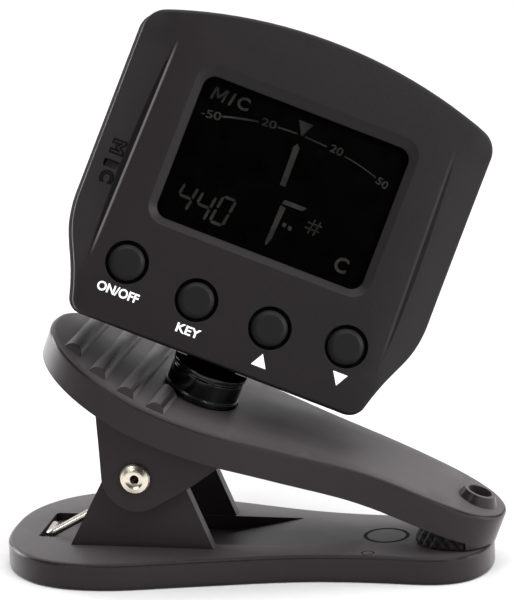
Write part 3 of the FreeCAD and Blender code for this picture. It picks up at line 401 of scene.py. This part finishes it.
# inside parts
guide = Tree("light_guide")
gd = guide.voronoi(900.0)
guide.set(Base_Color=guide.mix(guide.remap(gd, 0.1, 0.5, 0.0, 1.0), lin(238, 240, 236), lin(216, 220, 214)), Roughness=guide.remap(gd, 0.1, 0.5, 0.2, 0.4), Normal=guide.bump(gd, 0.2, 0.00004))
zebra = Tree("zebra_rubber")
zw = zebra.t.nodes.new("ShaderNodeTexWave")
zw.inputs["Scale"].default_value = 1600.0
zp = zebra.shift(zebra.co, FACE * MM)
zebra.link(zebra.scaled(1, 1, 1, zp, rot=(0, math.radians(-23.3), 0)), zw.inputs["Vector"])
zn = zebra.noise(3000.0)
zebra.set(Base_Color=zebra.mix(zw.outputs["Fac"], lin(150, 150, 152), lin(30, 30, 32)), Roughness=zebra.remap(zn, 0.3, 0.7, 0.5, 0.7), Normal=zebra.bump(zw.outputs["Fac"], 0.2, 0.00003))
pcb = Tree("circuit_board")
bk = pcb.t.nodes.new("ShaderNodeTexBrick")
bk.inputs["Scale"].default_value = 620.0
bk.inputs["Mortar Size"].default_value = 0.018
bk.inputs["Color1"].default_value = (1, 1, 1, 1)
bk.inputs["Color2"].default_value = (1, 1, 1, 1)
bk.inputs["Mortar"].default_value = (0, 0, 0, 1)
hu, hd, hz = pcb.head()
cmb = pcb.t.nodes.new("ShaderNodeCombineXYZ")
pcb.link(pcb.math("MULTIPLY", hu, 0.001), cmb.inputs[0])
pcb.link(pcb.math("MULTIPLY", hz, 0.001), cmb.inputs[1])
pcb.link(cmb.outputs[0], bk.inputs["Vector"])
pbn = pcb.noise(2400.0, 3.0)
pcb.set(Base_Color=pcb.mix(bk.outputs["Color"], lin(96, 140, 70), pcb.mix(pbn, lin(12, 70, 38), lin(16, 86, 46))), Roughness=pcb.remap(pbn, 0.3, 0.7, 0.3, 0.42),
        Normal=pcb.bump(bk.outputs["Fac"], 0.25, 0.00005))
chip = plastic("chip_epoxy", lin(34, 33, 34), rough=0.55, grain=5200.0, grain_h=0.3)
switch = plastic("switch_plastic", lin(38, 38, 39), rough=0.45, grain=6000.0, grain_h=0.2)
wire = plastic("lead_wire", lin(150, 26, 20), rough=0.4, grain=5200.0, grain_h=0.15)

LOOK = {
    "jaw_plastic": jaw, "jaw_rubber": pad, "bright_steel": rivet, "spring_steel": spring, "neck_gloss": neck, "zinc_steel": zinc,
    "case_plastic": case, "window": win, "lcd": lcd, "light_guide": guide, "zebra_rubber": zebra, "circuit_board": pcb, "chip_epoxy": chip,
    "button_plastic": button, "switch_plastic": switch, "mic_aluminium": micm, "piezo_brass": brass, "lead_wire": wire, "cell_steel": cell,
    "contact_steel": contact,
}
slot_of = {s["node"]: s["material_slot"] for s in frame["record"]["subparts"]}
for name, ob in NODES.items():
    look = door if name == "battery_door" else LOOK[slot_of[name]]
    if len(ob.material_slots) == 0:
        ob.data.materials.append(look.m)
    for ms in ob.material_slots:
        ms.material = look.m


# ---------------------------------------------------------------- smooth shading of curved CAD faces, as a modifier
def smooth_group():
    g = bpy.data.node_groups.new("smooth_by_angle", "GeometryNodeTree")
    g.interface.new_socket("Geometry", in_out="INPUT", socket_type="NodeSocketGeometry")
    g.interface.new_socket("Geometry", in_out="OUTPUT", socket_type="NodeSocketGeometry")
    i, o = g.nodes.new("NodeGroupInput"), g.nodes.new("NodeGroupOutput")
    merge = g.nodes.new("GeometryNodeMergeByDistance")
    merge.inputs["Distance"].default_value = 2e-7
    all_smooth = g.nodes.new("GeometryNodeSetShadeSmooth")
    all_smooth.domain = "FACE"
    all_smooth.inputs["Shade Smooth"].default_value = True
    ang = g.nodes.new("GeometryNodeInputMeshEdgeAngle")
    cmpn = g.nodes.new("FunctionNodeCompare")
    cmpn.data_type = "FLOAT"
    cmpn.operation = "GREATER_THAN"
    cmpn.inputs[1].default_value = math.radians(26)
    sharp = g.nodes.new("GeometryNodeSetShadeSmooth")
    sharp.domain = "EDGE"
    sharp.inputs["Shade Smooth"].default_value = False
    g.links.new(i.outputs[0], merge.inputs["Geometry"])
    g.links.new(merge.outputs[0], all_smooth.inputs["Geometry"])
    g.links.new(all_smooth.outputs[0], sharp.inputs["Geometry"])
    g.links.new(ang.outputs["Unsigned Angle"], cmpn.inputs[0])
    g.links.new(cmpn.outputs[0], sharp.inputs["Selection"])
    g.links.new(sharp.outputs[0], o.inputs[0])
    return g


# ---------------------------------------------------------------- mesh helpers
def obj_from(name, verts, faces, look, body, smooth=False):
    me = bpy.data.meshes.new(name)
    me.from_pydata([tuple(v) for v in verts], [], faces)
    me.validate()
    me.update()
    bm = bmesh.new()
    bm.from_mesh(me)
    bmesh.ops.remove_doubles(bm, verts=bm.verts, dist=1e-8)
    bmesh.ops.recalc_face_normals(bm, faces=bm.faces)
    bm.to_mesh(me)
    bm.free()
    if smooth:
        me.polygons.foreach_set("use_smooth", [True] * len(me.polygons))
    ob = bpy.data.objects.new(name, me)
    COLL.objects.link(ob)
    me.materials.append(look.m)
    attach(ob, body)
    return ob


def text_mesh(body_text, bold=0.0, outline=0.0, extrude=0.02, res=6):
    """Vertices and faces of a text at size 1, from Blender's own font; its box starts at (0, 0)."""
    cu = bpy.data.curves.new("txt", "FONT")
    cu.body = body_text
    cu.size = 1.0
    cu.offset = bold
    cu.resolution_u = res
    if outline > 0:
        cu.fill_mode = "NONE"
        cu.bevel_depth = outline
        cu.bevel_resolution = 2
    else:
        cu.extrude = extrude
    ob = bpy.data.objects.new("txt", cu)
    COLL.objects.link(ob)
    bpy.context.view_layer.update()
    dg = bpy.context.evaluated_depsgraph_get()
    me = bpy.data.meshes.new_from_object(ob.evaluated_get(dg))
    vs = [v.co.copy() for v in me.vertices]
    fs = [tuple(p.vertices) for p in me.polygons]
    bpy.data.objects.remove(ob)
    bpy.data.curves.remove(cu)
    bpy.data.meshes.remove(me)
    x0 = min(v.x for v in vs)
    y0 = min(v.y for v in vs)
    x1 = max(v.x for v in vs)
    y1 = max(v.y for v in vs)
    return [Vector((v.x - x0, v.y - y0, v.z)) for v in vs], fs, x1 - x0, y1 - y0


def place_text(txt, uc, zc, w, h, y, thick, rot=0.0, bold=0.03, shear=0.0):
    """Text as a thin solid on the head, centred at (uc, zc), w by h mm; y is the depth of its back."""
    vs, fs, tw, th = text_mesh(txt, bold=bold)
    out = []
    zmin, zmax = min(v.z for v in vs), max(v.z for v in vs)
    c, s = math.cos(rot), math.sin(rot)
    for v in vs:
        a, b = (v.x / tw - 0.5) * w, (v.y / th - 0.5) * h
        a += b * shear
        t = (v.z - zmin) / (zmax - zmin)
        out.append(H(uc + a * c - b * s, y - thick * t, zc + a * s + b * c))
    return out, fs


def prism(pts, y, thick):
    """Flat polygon (u, z) as a thin solid standing thick towards the viewer from depth y."""
    n = len(pts)
    vs = [H(a, y, b) for a, b in pts] + [H(a, y - thick, b) for a, b in pts]
    fs = [tuple(range(n)), tuple(range(2 * n - 1, n - 1, -1))] + [(i, (i + 1) % n, n + (i + 1) % n, n + i) for i in range(n)]
    return vs, fs


def join(parts):
    V_, F_ = [], []
    for vs, fs in parts:
        k = len(V_)
        V_ += vs
        F_ += [tuple(i + k for i in f) for f in fs]
    return V_, F_


# surface of the front cover, to lay the wing marks on
fc = NODES["front_cover"]
bvh = BVHTree.FromPolygons([v.co for v in fc.data.vertices], [tuple(p.vertices) for p in fc.data.polygons])


def face_y(u_, z_):
    hit = bvh.ray_cast(H(u_, -6, z_), BV)
    return -6 + hit[3] * 1000 if hit[0] is not None else 0.0


# ---------------------------------------------------------------- printed legends
T = 0.02
for nm, txt, uc, zc, w, h in (("legend_power", "ON/OFF", -13.75, -18.4, 5.2, 1.15), ("legend_key", "KEY", -4.3, -19.75, 3.0, 1.1)):
    v_, f_ = place_text(txt, uc, zc, w, h, 0.004, T, bold=0.026)
    obj_from(nm, v_, f_, ink, "head")
v_, f_ = prism([(4.05, -20.75), (5.9, -20.75), (4.97, -19.15)], 0.004, T)
obj_from("legend_up", v_, f_, ink, "head")
v_, f_ = prism([(13.5, -18.0), (15.35, -18.0), (14.45, -19.55)], 0.004, T)
obj_from("legend_down", v_, f_, ink, "head")

# outline letters of the engraved MIC mark beside the microphone slot, which stands between them; near-black as painted
# shade of the engraving
for nm, txt, za, zb in (("mark_mic_m", "M", -1.35, -3.2), ("mark_mic_c", "C", -5.2, -6.8)):
    vs, fs, tw, th = text_mesh(txt, bold=0.045 if txt == "M" else 0.02, outline=0.05)
    out = []
    for v in vs:
        uu = -20.75 + v.y / th * 1.75
        zz = za + (zb - za) * v.x / tw
        out.append(H(uu, face_y(uu, zz) - 0.035 - v.z / th * 1.75 * 0.5, zz))
    obj_from(nm, out, fs, groove_shade, "head", smooth=True)

# ---------------------------------------------------------------- screen graphics, thin shapes on the display glass
LY, LT = 1.952, 0.03


def strip(p, q, w):
    dx, dz_ = q[0] - p[0], q[1] - p[1]
    k = math.hypot(dx, dz_)
    nx, nz = -dz_ / k * w / 2, dx / k * w / 2
    return prism([(p[0] + nx, p[1] + nz), (q[0] + nx, q[1] + nz), (q[0] - nx, q[1] - nz), (p[0] - nx, p[1] - nz)], LY, LT)


SEG7 = {"4": "fgbc", "0": "abcdef"}


def digit(ch, u0, z0, w, h, slant=0.16, t=0.36, gap=0.07):
    """Seven-segment digit from pointed bars."""
    def P(a, b):
        return (u0 + a * w + (b * h) * slant, z0 + b * h)
    out = []
    rows = {"a": (0, 1, 1, 1), "g": (0, .5, 1, .5), "d": (0, 0, 1, 0), "f": (0, .5, 0, 1), "b": (1, .5, 1, 1), "e": (0, 0, 0, .5), "c": (1, 0, 1, .5)}
    for s_ in SEG7[ch]:
        a0, b0, a1, b1 = rows[s_]
        p, q = Vector(P(a0, b0)), Vector(P(a1, b1))
        d = (q - p).normalized()
        n = Vector((-d.y, d.x)) * t / 2
        p2, q2 = p + d * gap, q - d * gap
        pts = [p2, p2 + d * t / 2 + n, q2 - d * t / 2 + n, q2, q2 - d * t / 2 - n, p2 + d * t / 2 - n]
        out.append(prism([tuple(x) for x in pts], LY, LT))
    return out


scale = []
arcp = [(-9.55, 5.65), (-8.6, 5.92), (-7.6, 6.17), (-6.6, 6.4), (-5.8, 6.56)]
scale += [strip(a, b, 0.24) for a, b in zip(arcp, arcp[1:])]
scale += [strip(a, b, 0.2) for a, b in (((-2.95, 6.83), (-1.7, 6.92)), ((-1.7, 6.92), (-0.45, 6.97)))]
scale += [strip(a, b, 0.18) for a, b in (((0.6, 6.92), (2.0, 6.88)), ((2.0, 6.88), (3.4, 6.76)))]
arcq = [(5.8, 6.46), (7.0, 6.27), (8.1, 6.03), (9.2, 5.74), (10.15, 5.44)]
scale += [strip(a, b, 0.16) for a, b in zip(arcq, arcq[1:])]
scale += [strip((-12.1, 5.1), (-11.65, 5.2), 0.16), strip((-5.75, 6.55), (-5.3, 6.6), 0.2)]
for txt, uc, zc, w, h, rot in (("50", -10.6, 5.45, 1.85, 1.0, 0.13), ("20", -4.05, 6.9, 1.85, 0.95, 0.06), ("20", 4.65, 6.82, 1.6, 0.95, -0.06), ("50", 11.15, 5.1, 1.5, 0.95, -0.26)):
    scale.append(place_text(txt, uc, zc, w, h, LY, LT, rot=rot, bold=0.015))
v_, f_ = join(scale)
obj_from("screen_scale", v_, f_, seg, "head")
v_, f_ = prism([(-0.85, 8.6), (1.0, 8.6), (0.1, 6.8)], LY, LT)
obj_from("screen_pointer", v_, f_, seg, "head")
v_, f_ = prism([(0.0, 5.9), (0.42, 5.4), (0.45, 0.5), (-0.25, 0.5), (-0.32, 5.4)], LY, LT)
obj_from("screen_needle", v_, f_, seg, "head")
v_, f_ = join(digit("4", -11.35, -6.45, 1.65, 3.1) + digit("4", -8.95, -6.75, 1.65, 3.2) + digit("0", -6.55, -6.55, 1.6, 3.35))
obj_from("screen_pitch", v_, f_, seg, "head")
note = [prism([(0.95, -0.95), (3.85, -0.95), (3.35, -1.5), (0.75, -1.5)], LY, LT), prism([(0.72, -1.7), (1.4, -1.85), (1.15, -5.9), (0.75, -6.9), (0.55, -6.6)], LY, LT)]
note += [strip((1.75, -3.8), (2.2, -3.8), 0.5), strip((2.5, -3.95), (2.95, -3.95), 0.5)]
note += [strip((4.9, -3.75), (5.25, -1.9), 0.17), strip((5.6, -3.75), (5.95, -1.9), 0.17), strip((4.5, -2.45), (6.3, -2.45), 0.17), strip((4.4, -3.15), (6.2, -3.15), 0.17)]
v_, f_ = join(note)
obj_from("screen_note", v_, f_, seg, "head")
v_, f_ = join([strip((-11.65, 7.2), (-11.35, 8.8), 0.3), strip((-11.3, 8.75), (-10.85, 7.55), 0.26), strip((-10.85, 7.55), (-10.1, 8.75), 0.26), strip((-10.25, 7.2), (-9.95, 8.8), 0.3), strip((-9.35, 7.2), (-9.05, 8.8), 0.32), place_text("C", -7.75, 8.0, 1.5, 1.6, LY, LT, bold=0.03), place_text("C", 10.05, -5.85, 1.6, 1.9, LY, LT, bold=0.03)])
obj_from("screen_words", v_, f_, seg, "head")

# ---------------------------------------------------------------- ribbed rubber pad, cut from the CAD pad's own shape
def voxel_copy(node, size):
    me_ = bpy.data.meshes.new("vox")
    bm_ = bmesh.new()
    bm_.from_mesh(NODES[node].data)
    bmesh.ops.remove_doubles(bm_, verts=bm_.verts, dist=1e-7)
    bm_.to_mesh(me_)
    bm_.free()
    ob_ = bpy.data.objects.new("vox", me_)
    COLL.objects.link(ob_)
    md = ob_.modifiers.new("r", "REMESH")
    md.mode = "VOXEL"
    md.voxel_size = size
    bpy.context.view_layer.update()
    ev = ob_.evaluated_get(bpy.context.evaluated_depsgraph_get())
    out_ = bpy.data.meshes.new_from_object(ev)
    bpy.data.objects.remove(ob_)
    bpy.data.meshes.remove(me_)
    return out_


pm = voxel_copy("upper_jaw_pad", 0.00013)
ct_, st_ = math.cos(TILT), math.sin(TILT)
plo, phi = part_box("upper_jaw_pad")
nrm = [v.normal.copy() for v in pm.vertices]
pts_ = []
for v, n_ in zip(pm.vertices, nrm):
    c = v.co
    up = Vector((st_, 0, ct_)).dot(n_)
    w_ = max(0.0, min(1.0, (0.75 - up) / 0.5))
    # ribs run diagonally over the sides and across the underside
    ph = (c.x * math.cos(math.radians(32)) - c.z * math.sin(math.radians(32)) + 0.25 * abs(c.y)) / 0.00105
    saw = abs((ph - math.floor(ph)) * 2 - 1)
    pts_.append(c - n_ * 0.00028 * w_ * (saw ** 1.4))
for v, q in zip(pm.vertices, pts_):
    v.co = Vector([min(max(q[i], plo[i]), phi[i]) for i in range(3)])
pm.name = "pad_ribbed"
pm.materials.clear()
pm.materials.append(pad.m)
pm.polygons.foreach_set("use_smooth", [True] * len(pm.polygons))
pad_ob = bpy.data.objects.new("pad_ribbed", pm)
COLL.objects.link(pad_ob)
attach(pad_ob, "clip_lever")
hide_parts("upper_jaw_pad")

# shadowed ring lying in the jaw's round moulding mark, and the small one beside it
def ring(x, y, z_, r0, r1, h, n_=96):
    vs, fs = [], []
    for k in range(n_):
        a = 2 * math.pi * k / n_
        for r, zz in ((r0, z_ - h), (r0, z_), (r1, z_), (r1, z_ - h)):
            vs.append(Vector((x + r * math.cos(a), y + r * math.sin(a), zz)) * MM)
    for k in range(n_):
        for j in range(4):
            fs.append((4 * k + j, 4 * ((k + 1) % n_) + j, 4 * ((k + 1) % n_) + (j + 1) % 4, 4 * k + (j + 1) % 4))
    return vs, fs


v_, f_ = join([ring(28.7, 0, 3.304, 2.34, 2.80, 0.06), ring(27.6, -6.7, 3.303, 0.62, 0.82, 0.06)])
obj_from("jaw_mark", v_, f_, groove_shade, "clip_base")

# the spring wire: a smooth-shaded copy of the CAD spring, put in its place; the CAD spring is hidden
sm_ = NODES["torsion_spring"].data.copy()
sm_.name = "spring_wire"
sm_.polygons.foreach_set("use_smooth", [True] * len(sm_.polygons))
spring_ob = bpy.data.objects.new("spring_wire", sm_)
COLL.objects.link(spring_ob)
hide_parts("torsion_spring")
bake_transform(spring_ob)

# ---------------------------------------------------------------- floor, lights, world
floor_t = Tree("pale_floor")
fn = floor_t.noise(140.0, 3.0)
fl = floor_t.noise(6.0, 2.0)
floor_t.set(Base_Color=floor_t.mix(fl, (0.64, 0.64, 0.64, 1), (0.68, 0.68, 0.68, 1)), Roughness=floor_t.remap(fn, 0.3, 0.7, 0.75, 0.9), Normal=floor_t.bump(fn, 0.02, 0.0003))
me = bpy.data.meshes.new("floor")
bm = bmesh.new()
bmesh.ops.create_grid(bm, x_segments=8, y_segments=8, size=3.0)
bm.to_mesh(me)
bm.free()
floor = bpy.data.objects.new("floor", me)
floor.location = (0, 0, -0.00005)
COLL.objects.link(floor)
me.materials.append(floor_t.m)


def area(name, loc, target, sx, sy, power, colour=(1, 1, 1)):
    li = bpy.data.lights.new(name, "AREA")
    li.shape = "RECTANGLE"
    li.size, li.size_y, li.energy, li.color = sx, sy, power, colour
    ob = bpy.data.objects.new(name, li)
    ob.location = loc
    ob.rotation_euler = (Vector(target) - Vector(loc)).to_track_quat("-Z", "Y").to_euler()
    COLL.objects.link(ob)
    return ob


area("key_top", (0.06, 0.14, 0.60), (0.01, 0.02, 0.03), 0.7, 0.6, 2.6)
area("key_front", (0.07, -0.20, 0.56), (0.01, 0, 0.02), 0.45, 0.3, 1.1)
area("side_right", (0.60, 0.06, 0.20), (0.01, 0, 0.04), 0.30, 0.35, 2.6)
area("side_left", (-0.56, 0.24, 0.16), (0.0, 0, 0.045), 0.22, 0.3, 3.0)
area("card_left", (-0.30, -0.56, 0.40), (0.01, 0, 0.05), 0.25, 0.3, 1.4)
area("card_right", (0.62, -0.42, 0.14), (0.01, 0, 0.05), 0.25, 0.3, 1.2)
area("near_right", (0.15, -0.11, 0.155), (0.03, 0, 0.05), 0.05, 0.05, 0.13)

world = bpy.data.worlds.new("studio")
SCENE.world = world
world.use_nodes = True
wt = world.node_tree
wt.nodes.clear()
wo = wt.nodes.new("ShaderNodeOutputWorld")
bg = wt.nodes.new("ShaderNodeBackground")
tc = wt.nodes.new("ShaderNodeTexCoord")
sep = wt.nodes.new("ShaderNodeSeparateXYZ")
wt.links.new(tc.outputs["Generated"], sep.inputs[0])
ty = wt.nodes.new("ShaderNodeMath")
ty.operation = "MULTIPLY"
ty.inputs[1].default_value = 0.55
wt.links.new(sep.outputs["Y"], ty.inputs[0])
tz = wt.nodes.new("ShaderNodeMath")
tz.operation = "MULTIPLY_ADD"
tz.inputs[1].default_value = 0.9
wt.links.new(sep.outputs["Z"], tz.inputs[0])
wt.links.new(ty.outputs[0], tz.inputs[2])
ry = wt.nodes.new("ShaderNodeMapRange")
ry.interpolation_type = "SMOOTHSTEP"
for k, x in zip(("From Min", "From Max", "To Min", "To Max"), (-0.25, 1.1, 0.008, 1.0)):
    ry.inputs[k].default_value = x
wt.links.new(tz.outputs[0], ry.inputs["Value"])
wt.links.new(ry.outputs["Result"], bg.inputs["Strength"])
bg.inputs["Color"].default_value = (1, 1, 1, 1)
wt.links.new(bg.outputs[0], wo.inputs["Surface"])

SCENE.view_settings.view_transform = "Standard"
SCENE.view_settings.look = "None"
SCENE.view_settings.exposure = 0.0

# ---------------------------------------------------------------- camera
cam_d = bpy.data.cameras.new("camera")
cam_d.sensor_width = 36.0
cam_d.lens = 3908.82 * 36.0 / 600.0
cam_d.clip_start, cam_d.clip_end = 0.05, 20.0
cam = bpy.data.objects.new("camera", cam_d)
R_ = Vector((0.9772455, 0.2088181, -0.0372322)).normalized()
F_ = Vector((-0.2112536, 0.9424114, -0.2592925)).normalized()
U_ = R_.cross(F_).normalized()
R_ = F_.cross(U_).normalized()
m = Matrix((R_, U_, -F_)).transposed().to_4x4()
m.translation = Vector((0.1128095, -0.4412652, 0.1539014))
cam.matrix_world = m
COLL.objects.link(cam)
SCENE.camera = cam

grp = smooth_group()
for name, ob in NODES.items():
    mod = ob.modifiers.new("smooth", "NODES")
    mod.node_group = grp
